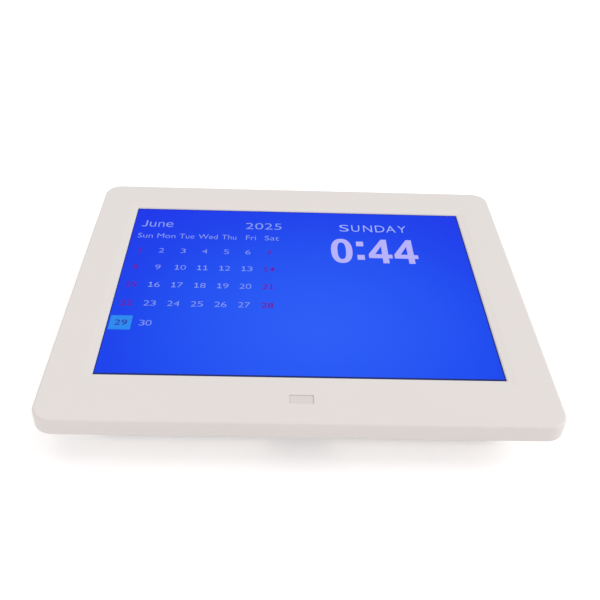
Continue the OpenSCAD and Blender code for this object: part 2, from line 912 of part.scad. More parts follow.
// The two washers that give the hinge its friction
module hinge_washers() {
  washer_r = 2.4;
  washer_t = 0.8;
  color(steel)
    for (sx = [-1, 1])
      translate([sx * (leg_w / 2 + leg_gap - washer_t / 2), hinge_up, z_axis])
        rotate([0, 90, 0])
          difference() {
            cylinder(r = washer_r, h = washer_t, center = true);
            cylinder(r = hinge_pin_r + 0.05, h = washer_t + 1, center = true);
          }
}

// ---- Keys ----

module key_cap(i) {
  color(white_key)
    translate([key_x, key_y(i), 0]) {
      moulded(key_l, key_w, key_w / 2 - 0.2, z_hump - key_proud, z_key_lip + overlap, 0, 0.5, 0);
      plate(key_l + 2 * key_lip, key_w + 2 * key_lip, key_w / 2, z_key_lip, z_key_top);
      rod(stem_r, z_key_top - overlap, z_key_top + stem_l);
    }
}

module key_board() {
  length = 2 * (key_post_y + 2.3);
  color(board_green)
    difference() {
      translate([key_x, keys_up, 0])
        block(key_board_w, length, z_key_board, z_key_board + key_board_t);
      for (p = key_post_points)
        translate(p) rod(small_thread_r + fit, z_key_board - 1, z_key_board + key_board_t + 1);
    }
}

module key_switches() {
  switch_w = 6;
  stem_gap = 0.3;
  color(black)
    for (i = [0 : len(key_names) - 1])
      translate([key_x, key_y(i), 0])
        difference() {
          block(switch_w, switch_w, z_switch, z_key_board);
          rod(stem_r + stem_gap, z_switch - 1, z_key_top + stem_l + 1.2);
        }
}

module key_board_screws() {
  color(steel)
    for (p = key_post_points)
      translate(p + [0, 0, z_key_board + key_board_t])
        rotate([180, 0, 0])
          screw(small_head_r, small_head_h, small_thread_r, key_board_t + 2.6);
}

// ---- Main board and what it carries ----

module main_board() {
  color(board_green)
    difference() {
      translate([(board_x0 + board_x1) / 2, board_up, 0])
        block(board_w, board_h, z_board, z_board_top);
      for (p = board_points)
        translate(p) rod(small_thread_r + 0.3, z_board - 1, z_board_top + 1);
    }
}

module board_screws() {
  color(steel)
    for (p = board_points)
      translate(p + [0, 0, z_board_top])
        rotate([180, 0, 0])
          screw(small_head_r, small_head_h, small_thread_r, board_t + 2);
}

// Processor, memory and two power chips, on the underside of the board
module board_chips() {
  large_x = board_x0 + 24;
  small_x = board_x0 + 38;
  processor_w = 14;
  memory_w = 11;
  memory_l = 8;
  small_w = 5;
  small_l = 6;
  chip_h = 1.4;
  color(black) {
    translate([large_x, board_up + 4, 0])
      block(processor_w, processor_w, z_board - chip_h, z_board);
    translate([large_x, board_up - 16, 0])
      block(memory_w, memory_l, z_board - chip_h, z_board);
    for (y = [-18, 14])
      translate([small_x, board_up + y, 0])
        block(small_w, small_l, z_board - chip_h, z_board);
  }
}

module board_capacitors() {
  can_r = 3.1;
  can_h = 5.8;
  color([0.8, 0.81, 0.83])
    for (y = [6, 15])
      translate([board_x1 - 22, board_up + y, 0]) rod(can_r, z_board - can_h, z_board);
}

module power_inductor() {
  core_w = 7;
  core_h = 4;
  color([0.25, 0.25, 0.27])
    translate([board_x1 - 46, board_up - 10, 0])
      difference() {
        block(core_w, core_w, z_board - core_h, z_board);
        rod(core_w / 2 - 0.8, z_board - core_h - 1, z_board - core_h + 0.6);
      }
}

cell_x = board_x1 - 42.4;
cell_y = board_up + 15;
cell_base_t = 0.8;

module cell_holder() {
  rim_t = 1;
  rim_h_cell = 2.4;
  color(black)
    translate([cell_x, cell_y, 0]) {
      rod(cell_r + 0.15 + rim_t, z_board - cell_base_t, z_board);
      tube(
        cell_r + 0.15 + rim_t, cell_r + 0.15,
        z_board - cell_base_t - rim_h_cell, z_board - cell_base_t + 0.1
      );
    }
}

module coin_cell() {
  color([0.82, 0.82, 0.84])
    translate([cell_x, cell_y, 0])
      rod(cell_r, z_board - cell_base_t - cell_t, z_board - cell_base_t);
}

lcd_cable_w = 30;
lcd_cable_x = board_points[3][0] - small_head_r - 1.6 - lcd_cable_w / 2 - 1;
ir_cable_w = 3.6;
ir_cable_x = board_x0 + 10;
key_cable_w = 8;
key_cable_y = board_up - 12;
plug_h = 1.8;
plug_l = 5;
speaker_plug_h = 3;
speaker_plug_x = speaker_x + terminal_x;

// The sockets on the board that take the flat cables and the loudspeaker's wires
module cable_connectors() {
  color([0.93, 0.9, 0.84]) {
    translate([lcd_cable_x, board_y0 + 2 + plug_l / 2, 0])
      block(lcd_cable_w + 2, plug_l, z_board_top, z_board_top + plug_h);
    translate([ir_cable_x, board_y0 + 2 + plug_l / 2, 0])
      block(ir_cable_w + 1.4, plug_l, z_board_top, z_board_top + plug_h);
    translate([board_x0 + 2 + plug_l / 2, key_cable_y, 0])
      block(plug_l, key_cable_w + 2, z_board_top, z_board_top + plug_h);
    translate([speaker_plug_x, board_y0 + 4, 0])
      block(6, 4, z_board - speaker_plug_h, z_board);
  }
}

// The display's flat cable: out of the module's lower edge, round behind it and on to the board
module lcd_cable() {
  t = 0.25;
  bend_r = 0.9;
  z_low = z_module - 0.5;
  y_edge = module_up - module_h / 2;
  color([0.85, 0.55, 0.2])
    translate([lcd_cable_x - lcd_cable_w / 2, 0, 0])
      rotate([90, 0, 90])
        linear_extrude(height = lcd_cable_w) {
          translate([y_edge - 1, z_low + 2 * bend_r - t]) square([1, t]);
          translate([y_edge - 1, z_low + bend_r])
            difference() {
              circle(r = bend_r);
              circle(r = bend_r - t);
              translate([0, -2]) square([4, 4]);
            }
          polygon(band([
            [y_edge - 1, z_low], [board_y0 - 9, z_low],
            [board_y0 + 1, z_board_top + 0.8], [board_y0 + 2, z_board_top + 0.8]
          ], t));
        }
}

// The three-wire strip from the receiver's board to the main board
module ir_cable() {
  t = 0.7;
  z_top = z_ir_board;
  color([0.75, 0.75, 0.78])
    translate([ir_cable_x - ir_cable_w / 2, 0, 0])
      rotate([90, 0, 90])
        linear_extrude(height = ir_cable_w)
          polygon(band([
            [window_up + 1.8, z_top - t], [board_y0 - 7, z_top - t],
            [board_y0 + 1, z_board_top + 0.5], [board_y0 + 2, z_board_top + 0.5]
          ], t));
}

// The flat cable from the keys' board to the main board
module key_cable() {
  t = 0.25;
  z_start = z_key_board + key_board_t;
  color([0.9, 0.9, 0.92])
    translate([0, key_cable_y + key_cable_w / 2, 0])
      rotate([90, 0, 0])
        linear_extrude(height = key_cable_w)
          polygon(band([
            [key_x + 1, z_start], [key_x + key_board_w / 2 + 2, z_start],
            [board_x0 - 4, z_board_top + 0.8], [board_x0 + 2, z_board_top + 0.8]
          ], t));
}

module dc_jack() {
  color(black)
    translate([port_x, jack_y, z_jack])
      difference() {
        translate([-jack_l, -jack_w / 2, -jack_h / 2]) cube([jack_l, jack_w, jack_h]);
        translate([-jack_bore_l, 0, 0])
          rotate([0, 90, 0]) cylinder(r = jack_bore_r, h = jack_bore_l + 1);
        translate([-jack_l - 1, 0, 0])
          rotate([0, 90, 0]) cylinder(r = jack_pin_base_r + 0.02, h = jack_l);
      }
}

module dc_jack_pin() {
  color([0.8, 0.78, 0.7])
    translate([port_x, jack_y, z_jack])
      rotate([0, 90, 0]) {
        rod(jack_pin_base_r, -jack_l, -jack_bore_l);
        rod(jack_pin_r, -jack_bore_l, -jack_pin_in);
      }
}

module usb_shell() {
  color(steel)
    translate([port_x - usb_l, usb_y - usb_w / 2, z_board - usb_h])
      difference() {
        cube([usb_l, usb_w, usb_h]);
        translate([usb_wall, usb_wall, usb_wall])
          cube([usb_l, usb_w - 2 * usb_wall, usb_h - 2 * usb_wall]);
      }
}

// The insulator in the socket: a block at its back and the tongue that carries the contacts
module usb_tongue() {
  block_l = 4;
  tongue_w = 11.1;
  tongue_t = 1.9;
  set_back = 0.8;
  color(black)
    translate([port_x - usb_l + usb_wall, usb_y, z_board - usb_h / 2]) {
      translate([0, -usb_w / 2 + usb_wall + fit, -usb_h / 2 + usb_wall + fit])
        cube([block_l, usb_w - 2 * (usb_wall + fit), usb_h - 2 * (usb_wall + fit)]);
      translate([block_l - overlap, -tongue_w / 2, 0.4])
        cube([usb_l - usb_wall - block_l - set_back + overlap, tongue_w, tongue_t]);
    }
}

module sd_socket() {
  slot_l = 25;
  color(steel)
    translate([port_x - sd_l, sd_y - sd_w / 2, z_board - sd_h])
      difference() {
        cube([sd_l, sd_w, sd_h]);
        translate([sd_l - slot_l, (sd_w - sd_slot_w) / 2, 0.3])
          cube([slot_l + 1, sd_slot_w, sd_slot_h]);
      }
}

// ---- Loudspeaker ----

magnet_r = 6.5;
cone_r = speaker_r - 2.4;
magnet_top = 7.3;

// The steel basket with the magnet on its back and the tag for the wires
module speaker_frame() {
  color(steel)
    translate([speaker_x, speaker_y, z_floor]) {
      rotate_extrude()
        polygon([
          [cone_r, 0], [speaker_r, 0], [speaker_r, 1.1], [speaker_r - 2, 1.1],
          [magnet_r + 1.5, 4.5], [magnet_r, 4.5], [magnet_r, magnet_top], [0, magnet_top],
          [0, 4], [magnet_r + 0.8, 3.7], [cone_r, 0.8]
        ]);
      translate([terminal_x, terminal_y, 0]) block(4, 2, 1.2, terminal_h);
    }
}

module speaker_cone() {
  t = 0.3;
  color([0.3, 0.3, 0.32])
    translate([speaker_x, speaker_y, z_floor])
      rotate_extrude()
        polygon([
          [0, 1.2], [3, 1.8], [4, 2.4], [cone_r - 0.1, 0.1],
          [cone_r - 0.1, 0.1 + t], [4, 2.4 + t], [3, 1.8 + t], [0, 1.2 + t]
        ]);
}

module speaker_wires() {
  wire_t = 1.1;
  wire_apart = 1.8;
  z_tag = z_floor + terminal_h;
  color([0.7, 0.1, 0.1])
    for (side = [-1, 1])
      translate([speaker_plug_x + side * wire_apart / 2 - wire_t / 2, 0, 0])
        rotate([90, 0, 90])
          linear_extrude(height = wire_t)
            polygon(band([
              [speaker_y + terminal_y - 0.8, z_tag], [speaker_y + terminal_y + 8, z_tag],
              [board_y0 - 5, z_board - 2.4], [board_y0 + 2, z_board - 2.4]
            ], wire_t));
}

// ---- What is drawn ----

front_bezel();
ir_window();
screen_gasket();
lcd_frame();
lcd_glass();
lcd_backlight();
lcd_back_plate();
lcd_brackets();
bracket_screws();
ir_board();
ir_receiver();
ir_screws();
ir_cable();
main_board();
board_chips();
board_capacitors();
power_inductor();
cell_holder();
coin_cell();
cable_connectors();
board_screws();
lcd_cable();
key_cable();
dc_jack();
dc_jack_pin();
usb_shell();
usb_tongue();
sd_socket();
speaker_frame();
speaker_cone();
speaker_wires();
key_board();
key_switches();
key_board_screws();
key_cap(0);  // power_key
key_cap(1);  // menu_key
key_cap(2);  // up_key
key_cap(3);  // left_key
key_cap(4);  // right_key
key_cap(5);  // down_key
key_cap(6);  // exit_key
rear_cover();
case_screws();
rubber_feet();
stand_leg();
stand_tip_pad();
hinge_pin();
hinge_washers();
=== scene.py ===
import math

import bmesh
import bpy
from mathutils import Matrix, Vector


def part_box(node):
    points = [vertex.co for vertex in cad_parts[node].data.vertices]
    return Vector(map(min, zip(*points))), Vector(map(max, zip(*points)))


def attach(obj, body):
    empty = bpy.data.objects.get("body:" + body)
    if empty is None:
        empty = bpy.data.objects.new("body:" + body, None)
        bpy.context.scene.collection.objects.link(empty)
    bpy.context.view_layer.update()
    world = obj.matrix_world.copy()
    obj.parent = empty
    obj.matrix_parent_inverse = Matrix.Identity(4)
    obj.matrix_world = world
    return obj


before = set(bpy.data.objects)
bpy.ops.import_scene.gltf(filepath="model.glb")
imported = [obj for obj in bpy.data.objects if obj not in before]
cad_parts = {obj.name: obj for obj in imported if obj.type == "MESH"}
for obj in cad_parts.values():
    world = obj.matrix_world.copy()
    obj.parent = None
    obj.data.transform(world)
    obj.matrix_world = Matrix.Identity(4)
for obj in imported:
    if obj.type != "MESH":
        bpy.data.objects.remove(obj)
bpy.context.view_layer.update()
MM = 0.001


# ---- Camera: a pinhole fitted to the photograph ----

CAMERA_ELEVATION, CAMERA_AZIMUTH, CAMERA_ROLL = 37.8617, -2.2615, 2.5482  # degrees
CAMERA_TARGET = (0.2767, -9.6256, 19.9)  # mm
CAMERA_DISTANCE = 355.945  # mm
CAMERA_SHIFT = (-0.0007, 0.0008)  # shares of the picture's width
FOCAL_LENGTH, PICTURE_WIDTH = 808.0, 600  # pixels
SENSOR_WIDTH = 36  # mm
CLIP_START = 0.01


def make_camera():
    elevation, azimuth, roll = (math.radians(a) for a in (CAMERA_ELEVATION, CAMERA_AZIMUTH, CAMERA_ROLL))
    back = Vector((math.sin(azimuth) * math.cos(elevation), -math.cos(azimuth) * math.cos(elevation),
                   math.sin(elevation)))
    level_right = Vector((math.cos(azimuth), math.sin(azimuth), 0))
    level_up = back.cross(level_right)
    right = level_right * math.cos(roll) + level_up * math.sin(roll)
    up = level_up * math.cos(roll) - level_right * math.sin(roll)
    data = bpy.data.cameras.new("camera")
    data.sensor_width = SENSOR_WIDTH
    data.lens = FOCAL_LENGTH * SENSOR_WIDTH / PICTURE_WIDTH
    data.shift_x, data.shift_y = CAMERA_SHIFT
    data.clip_start = CLIP_START
    camera = bpy.data.objects.new("camera", data)
    place = Vector(CAMERA_TARGET) * MM + back * CAMERA_DISTANCE * MM
    camera.matrix_world = Matrix.Translation(place) @ Matrix((right, up, back)).transposed().to_4x4()
    bpy.context.collection.objects.link(camera)
    bpy.context.scene.camera = camera


make_camera()


# ---- Nodes and materials ----

PLASTIC_SPECULAR = 0.4
BRUSH_STRETCH, BRUSH_DEPTH = (1, 30, 1), 0.000004  # the fine lines of metal


def new_material(name):
    """A material that holds only a principled shader and its output."""
    mat = bpy.data.materials.new(name)
    mat.use_nodes = True
    nodes, links = mat.node_tree.nodes, mat.node_tree.links
    nodes.clear()
    out = nodes.new("ShaderNodeOutputMaterial")
    bsdf = nodes.new("ShaderNodeBsdfPrincipled")
    links.new(bsdf.outputs[0], out.inputs[0])
    return mat, nodes, links, bsdf


def srgb(r, g, b):
    """A colour given in levels of 0 to 255, as linear values."""
    def lin(c):
        c /= 255
        return c / 12.92 if c <= 0.04045 else ((c + 0.055) / 1.055) ** 2.4
    return (lin(r), lin(g), lin(b), 1)


def noise(nodes, links, scale, detail=2.0, rough=0.5, stretch=None):
    """Noise in the object's own space; stretch gives its own scale along each axis."""
    coord = nodes.new("ShaderNodeTexCoord")
    tex = nodes.new("ShaderNodeTexNoise")
    tex.inputs["Scale"].default_value = scale
    tex.inputs["Detail"].default_value = detail
    tex.inputs["Roughness"].default_value = rough
    if stretch:
        mapping = nodes.new("ShaderNodeMapping")
        mapping.inputs["Scale"].default_value = stretch
        links.new(coord.outputs["Object"], mapping.inputs["Vector"])
        links.new(mapping.outputs[0], tex.inputs["Vector"])
    else:
        links.new(coord.outputs["Object"], tex.inputs["Vector"])
    return tex.outputs["Fac"]


def ramp(nodes, links, fac, stops):
    """Colours that follow a value, from stops of place and colour."""
    node = nodes.new("ShaderNodeValToRGB")
    elements = node.color_ramp.elements
    while len(elements) < len(stops):
        elements.new(0.5)
    for element, (place, colour) in zip(elements, stops):
        element.position = place
        element.color = colour
    links.new(fac, node.inputs["Fac"])
    return node.outputs["Color"]


def spread(nodes, links, fac, low, high):
    """A value of 0 to 1, spread over low to high."""
    node = nodes.new("ShaderNodeMapRange")
    node.inputs["To Min"].default_value = low
    node.inputs["To Max"].default_value = high
    links.new(fac, node.inputs["Value"])
    return node.outputs["Result"]


def bump(nodes, links, fac, distance):
    """A normal for relief of this depth."""
    node = nodes.new("ShaderNodeBump")
    node.inputs["Distance"].default_value = distance
    node.inputs["Strength"].default_value = 1
    links.new(fac, node.inputs["Height"])
    return node.outputs["Normal"]


def math_node(nodes, links, operation, a, b):
    """One step of arithmetic on two sockets or numbers."""
    node = nodes.new("ShaderNodeMath")
    node.operation = operation
    for socket, value in ((node.inputs[0], a), (node.inputs[1], b)):
        if isinstance(value, (int, float)):
            socket.default_value = value
        else:
            links.new(value, socket)
    return node.outputs[0]


def position(nodes, links):
    """The sockets X, Y and Z of a point's place in the frame."""
    coord = nodes.new("ShaderNodeTexCoord")
    split = nodes.new("ShaderNodeSeparateXYZ")
    links.new(coord.outputs["Object"], split.inputs[0])
    return split.outputs


def shade(colour, factor):
    return tuple(c * factor for c in colour[:3]) + (1,)


def plastic(name, colour, rough=0.45, grain=0.00002, grain_scale=2600, vary=0.02):
    """Moulded plastic: a fine spark-eroded grain, and slow drifts of tone and gloss."""
    mat, nodes, links, bsdf = new_material(name)
    slow = noise(nodes, links, scale=22, detail=3)
    fine = noise(nodes, links, scale=grain_scale, detail=2, rough=0.6)
    links.new(ramp(nodes, links, slow, [(0.3, shade(colour, 1 - vary)), (0.7, shade(colour, 1 + vary))]),
              bsdf.inputs["Base Color"])
    links.new(spread(nodes, links, slow, rough - 0.04, rough + 0.04), bsdf.inputs["Roughness"])
    links.new(bump(nodes, links, fine, grain), bsdf.inputs["Normal"])
    bsdf.inputs["Specular IOR Level"].default_value = PLASTIC_SPECULAR
    return mat


def metal(name, colour, rough, line_scale=300):
    """Stamped or turned metal with fine lines along one direction."""
    mat, nodes, links, bsdf = new_material(name)
    fine = noise(nodes, links, scale=line_scale, detail=3, rough=0.6, stretch=BRUSH_STRETCH)
    slow = noise(nodes, links, scale=60, detail=2)
    links.new(ramp(nodes, links, slow, [(0.3, shade(colour, 0.93)), (0.7, shade(colour, 1.05))]),
              bsdf.inputs["Base Color"])
    links.new(spread(nodes, links, fine, rough - 0.08, rough + 0.1), bsdf.inputs["Roughness"])
    links.new(bump(nodes, links, fine, BRUSH_DEPTH), bsdf.inputs["Normal"])
    bsdf.inputs["Metallic"].default_value = 1
    return mat


# ---- Floor, backdrop and lights ----

FLOOR_HALF = 30
FLOOR_TONES = ((0.9, 0.9, 0.9, 1), (0.92, 0.92, 0.92, 1))
GLOW_NEAR, GLOW_FAR = 0.34, 1  # what the camera sees the floor add, near the clock and far from it
GLOW_STARTS, GLOW_ENDS = 0.5, 2.5  # the distances between which it grows, in metres
WORLD_STRENGTH = 0.69
LIGHTS = (  # name, place, size, power, colour
    ("key_light", (2.7, 0.25, 1.7), 1.4, 37, (1, 1, 1)),
    ("fill_light", (-0.7, 0.6, 1.2), 1.0, 2.4, (1, 1, 1)),
    ("front_light", (-0.7, -1.4, 0.6), 1.0, 3.1, (1, 0.85, 0.85)),
)


def make_floor():
    """A pale floor that shades towards plain white in the camera's view, and keeps the clock's shadow."""
    mesh = bpy.data.meshes.new("floor")
    bm = bmesh.new()
    s = FLOOR_HALF
    bm.faces.new([bm.verts.new(p) for p in ((-s, -s, 0), (s, -s, 0), (s, s, 0), (-s, s, 0))])
    bm.to_mesh(mesh)
    bm.free()
    floor = bpy.data.objects.new("floor", mesh)
    bpy.context.collection.objects.link(floor)
    mat, nodes, links, bsdf = new_material("floor_paint")
    tone = noise(nodes, links, scale=3, detail=2)
    links.new(ramp(nodes, links, tone, list(enumerate(FLOOR_TONES))), bsdf.inputs["Base Color"])
    bsdf.inputs["Roughness"].default_value = 0.9
    bsdf.inputs["Specular IOR Level"].default_value = 0.1
    path = nodes.new("ShaderNodeLightPath")
    seen = math_node(nodes, links, "MAXIMUM", path.outputs["Is Camera Ray"], path.outputs["Is Glossy Ray"])
    seen = math_node(nodes, links, "MAXIMUM", seen, path.outputs["Is Transmission Ray"])
    coord = nodes.new("ShaderNodeTexCoord")
    away = nodes.new("ShaderNodeVectorMath")
    away.operation = "LENGTH"
    links.new(coord.outputs["Object"], away.inputs[0])
    glow = nodes.new("ShaderNodeMapRange")
    for socket, value in (("From Min", GLOW_STARTS), ("From Max", GLOW_ENDS),
                          ("To Min", GLOW_NEAR), ("To Max", GLOW_FAR)):
        glow.inputs[socket].default_value = value
    links.new(away.outputs["Value"], glow.inputs["Value"])
    bsdf.inputs["Emission Color"].default_value = (1, 1, 1, 1)
    links.new(math_node(nodes, links, "MULTIPLY", seen, glow.outputs["Result"]), bsdf.inputs["Emission Strength"])
    mesh.materials.append(mat)


def make_world():
    """Soft light from all sides, which the camera sees as white."""
    world = bpy.data.worlds.new("studio")
    bpy.context.scene.world = world
    world.use_nodes = True
    nodes, links = world.node_tree.nodes, world.node_tree.links
    light = nodes["Background"]
    light.inputs["Color"].default_value = (1.0, 0.985, 0.98, 1)
    light.inputs["Strength"].default_value = WORLD_STRENGTH
    white = nodes.new("ShaderNodeBackground")
    white.inputs["Color"].default_value = (1, 1, 1, 1)
    white.inputs["Strength"].default_value = 1
    path = nodes.new("ShaderNodeLightPath")
    mix = nodes.new("ShaderNodeMixShader")
    links.new(path.outputs["Is Camera Ray"], mix.inputs[0])
    links.new(light.outputs[0], mix.inputs[1])
    links.new(white.outputs[0], mix.inputs[2])
    links.new(mix.outputs[0], nodes["World Output"].inputs["Surface"])


def area_light(name, place, size, power, colour):
    """A round light that faces the clock."""
    data = bpy.data.lights.new(name, "AREA")
    data.shape = "DISK"
    data.size = size
    data.energy = power
    data.color = colour
    light = bpy.data.objects.new(name, data)
    light.location = place
    light.rotation_euler = (-Vector(place)).to_track_quat("-Z", "Y").to_euler()
    bpy.context.collection.objects.link(light)


make_floor()
make_world()
for light_values in LIGHTS:
    area_light(*light_values)


# ---- The display's glass and its lit colours ----

SCREEN_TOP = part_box("lcd_glass")[1][2]
LIT_X, LIT_Y = (-0.0809, 0.0808), (-0.058, 0.06345)  # the lit cells' outline
LIT_DEPTH = 0.0002  # only the glass's top face is lit
BLUE_CENTRE, BLUE_REACH = (0.008, -0.03), (0.126, 0.12)  # where the blue is lightest, and how far it fades
BLUES = ((0.0, srgb(42, 93, 246)), (0.32, srgb(34, 85, 243)), (0.54, srgb(26, 76, 239)),
         (0.68, srgb(22, 66, 236)), (1.0, srgb(17, 51, 233)))
UNLIT = (0.002, 0.002, 0.004, 1)
UNLIT_BORDER = srgb(34, 46, 110)
SCREEN_SPECULAR = 0.03


def lit_blue(nodes, links):
    """The backlit blue: deeper along the far edge and the sides, lighter towards the middle and the near edge."""
    place = position(nodes, links)
    x, y = (math_node(nodes, links, "DIVIDE", math_node(nodes, links, "SUBTRACT", place[axis], centre), reach)
            for axis, centre, reach in zip("XY", BLUE_CENTRE, BLUE_REACH))
    far = math_node(nodes, links, "ADD", math_node(nodes, links, "MULTIPLY", x, x),
                    math_node(nodes, links, "MULTIPLY", y, y))
    return ramp(nodes, links, math_node(nodes, links, "SQRT", far, 0.0), BLUES)


def screen_material():
    """The display's glass: lit blue inside the cells' outline, dull blue around it, and dark on its sides."""
    mat, nodes, links, bsdf = new_material("screen_lit")
    place = position(nodes, links)
    in_x, in_y = (
        math_node(nodes, links, "LESS_THAN",
                  math_node(nodes, links, "ABSOLUTE",
                            math_node(nodes, links, "SUBTRACT", place[axis], (low + high) / 2), 0.0),
                  (high - low) / 2)
        for axis, (low, high) in (("X", LIT_X), ("Y", LIT_Y)))
    above = math_node(nodes, links, "GREATER_THAN", place["Z"], SCREEN_TOP - LIT_DEPTH)
    inside = math_node(nodes, links, "MULTIPLY", in_x, in_y)
    grain = noise(nodes, links, scale=9000, detail=1)
    bsdf.inputs["Base Color"].default_value = UNLIT
    border = nodes.new("ShaderNodeMix")
    border.data_type = "RGBA"
    border.inputs["A"].default_value = UNLIT_BORDER
    links.new(inside, border.inputs["Factor"])
    links.new(lit_blue(nodes, links), border.inputs["B"])
    links.new(border.outputs["Result"], bsdf.inputs["Emission Color"])
    links.new(math_node(nodes, links, "MULTIPLY", above,
                        spread(nodes, links, grain, 0.97, 1.03)), bsdf.inputs["Emission Strength"])
    links.new(spread(nodes, links, grain, 0.26, 0.34), bsdf.inputs["Roughness"])
    bsdf.inputs["Specular IOR Level"].default_value = SCREEN_SPECULAR
    return mat


def glyph_material(name, colour, second):
    """A lit figure on the display, with the soft unevenness of its cells."""
    mat, nodes, links, bsdf = new_material(name)
    cells = noise(nodes, links, scale=1400, detail=2, rough=0.7)
    links.new(ramp(nodes, links, cells, [(0.35, colour), (0.65, second)]), bsdf.inputs["Emission Color"])
    bsdf.inputs["Base Color"].default_value = UNLIT
    bsdf.inputs["Emission Strength"].default_value = 1
    bsdf.inputs["Roughness"].default_value = 0.3
    bsdf.inputs["Specular IOR Level"].default_value = SCREEN_SPECULAR
    return mat


# ---- Thin pieces: flat meshes in mm, each scaled and moved into place ----

FILM = 0.00001  # the thickness of a thin piece
LIFT, UPPER_LIFT = 0.00002, 0.00004  # above the glass
LETTER_WEIGHT, PLAIN_WEIGHT, STRONG_WEIGHT = -0.008, -0.014, 0.008  # added to the outline of a letter
DIGIT_PITCH = 1.16  # in widths of a digit

CAPITAL_J = [(0.7, 1), (1, 1), (1, 0.34), (0.93, 0.15), (0.76, 0.04), (0.5, 0), (0.2, 0.02), (0, 0.07), (0, 0.2),
             (0.2, 0.15), (0.45, 0.13), (0.62, 0.17), (0.69, 0.25), (0.7, 0.36)]
ONE = [(0.12, 0), (0.94, 0), (0.94, 0.13), (0.63, 0.13), (0.63, 1), (0.44, 1), (0.1, 0.86), (0.1, 0.73),
       (0.43, 0.83), (0.43, 0.13), (0.12, 0.13)]
FOUR = [(0.6, 1), (0.83, 1), (0.83, 0.36), (1, 0.36), (1, 0.205), (0.83, 0.205), (0.83, 0), (0.57, 0),
        (0.57, 0.205), (0, 0.205), (0, 0.37)]
FOUR_HOLE = [(0.57, 0.37), (0.57, 0.71), (0.275, 0.37)]


def curve_mesh(curve):
    """The filled face of a text or outline curve, which is then removed."""
    holder = bpy.data.objects.new("outline", curve)
    bpy.context.collection.objects.link(holder)
    depsgraph = bpy.context.evaluated_depsgraph_get()
    mesh = bpy.data.meshes.new_from_object(holder.evaluated_get(depsgraph))
    bpy.data.objects.remove(holder)
    bpy.data.curves.remove(curve)
    return mesh


def text_mesh(words, weight):
    """Words in Blender's own font, one unit high."""
    curve = bpy.data.curves.new("words", "FONT")
    curve.body = words
    curve.offset = weight
    curve.resolution_u = 4
    return curve_mesh(curve)


def flat_mesh(outline, holes=()):
    """An outline with holes in it."""
    curve = bpy.data.curves.new("outline", "CURVE")
    curve.dimensions = "2D"
    curve.fill_mode = "BOTH"
    for ring in (outline, *holes):
        spline = curve.splines.new("POLY")
        spline.points.add(len(ring) - 1)
        for point, (x, y) in zip(spline.points, ring):
            point.co = (x, y, 0, 1)
        spline.use_cyclic_u = True
    return curve_mesh(curve)


def rectangle(x0, x1, y0, y1):
    return flat_mesh([(x0, y0), (x1, y0), (x1, y1), (x0, y1)])


def oval(wide, high, power, steps=48):
    """The outline of an oval, which is squarer with a higher power."""
    ring = []
    for i in range(steps):
        c, s = math.cos(2 * math.pi * i / steps), math.sin(2 * math.pi * i / steps)
        ring.append((wide / 2 * math.copysign(abs(c) ** (2 / power), c),
                     high / 2 * math.copysign(abs(s) ** (2 / power), s)))
    return ring


def placed(mesh, x=0, y=0, wide=1, high=1):
    """A part of a thin piece: a mesh, its scales, and where its origin goes."""
    return mesh, wide, high, x, y


def boxed(mesh, x0, x1, y0, y1):
    """A part whose mesh is stretched to fill a box."""
    xs = [v.co.x for v in mesh.vertices]
    ys = [v.co.y for v in mesh.vertices]
    wide, high = (x1 - x0) / (max(xs) - min(xs)), (y1 - y0) / (max(ys) - min(ys))
    return placed(mesh, x0 - min(xs) * wide, y0 - min(ys) * high, wide, high)


def fitted(words, x0, x1, y0, y1):
    """Words that fill a box."""
    return boxed(text_mesh(words, LETTER_WEIGHT), x0, x1, y0, y1)


def number_parts(number, x, y, wide, high, weight):
    """A number centred on x and y, in digits of equal pitch; its ones have a flag and a foot."""
    digits = str(number)
    parts = []
    for i, digit in enumerate(digits):
        left = x + (i - (len(digits) - 1) / 2) * wide * DIGIT_PITCH - wide / 2
        low = y - high / 2
        if digit == "1":
            parts.append(placed(flat_mesh(ONE), left, low, wide, high))
        else:
            parts.append(boxed(text_mesh(digit, weight), left, left + wide, low, low + high))
    return parts


def thin_piece(name, parts, material, z, thickness, body):
    """One closed piece on a surface at height z; a negative thickness goes below it."""
    bm = bmesh.new()
    for mesh, wide, high, x, y in parts:
        start = len(bm.verts)
        bm.from_mesh(mesh)
        bm.verts.ensure_lookup_table()
        for v in bm.verts[start:]:
            v.co = Vector(((v.co.x * wide + x) * MM, (v.co.y * high + y) * MM, 0))
    bmesh.ops.remove_doubles(bm, verts=bm.verts, dist=1e-7)
    outer = bmesh.ops.extrude_face_region(bm, geom=bm.faces[:])
    for v in [g for g in outer["geom"] if isinstance(g, bmesh.types.BMVert)]:
        v.co.z += thickness
    bmesh.ops.recalc_face_normals(bm, faces=bm.faces[:])
    for v in bm.verts:
        v.co.z += z
    mesh = bpy.data.meshes.new(name)
    bm.to_mesh(mesh)
    bm.free()
    piece = bpy.data.objects.new(name, mesh)
    bpy.context.collection.objects.link(piece)
    mesh.materials.append(material)
    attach(piece, body)


# ---- The display's picture: words and numbers, and their places in mm ----

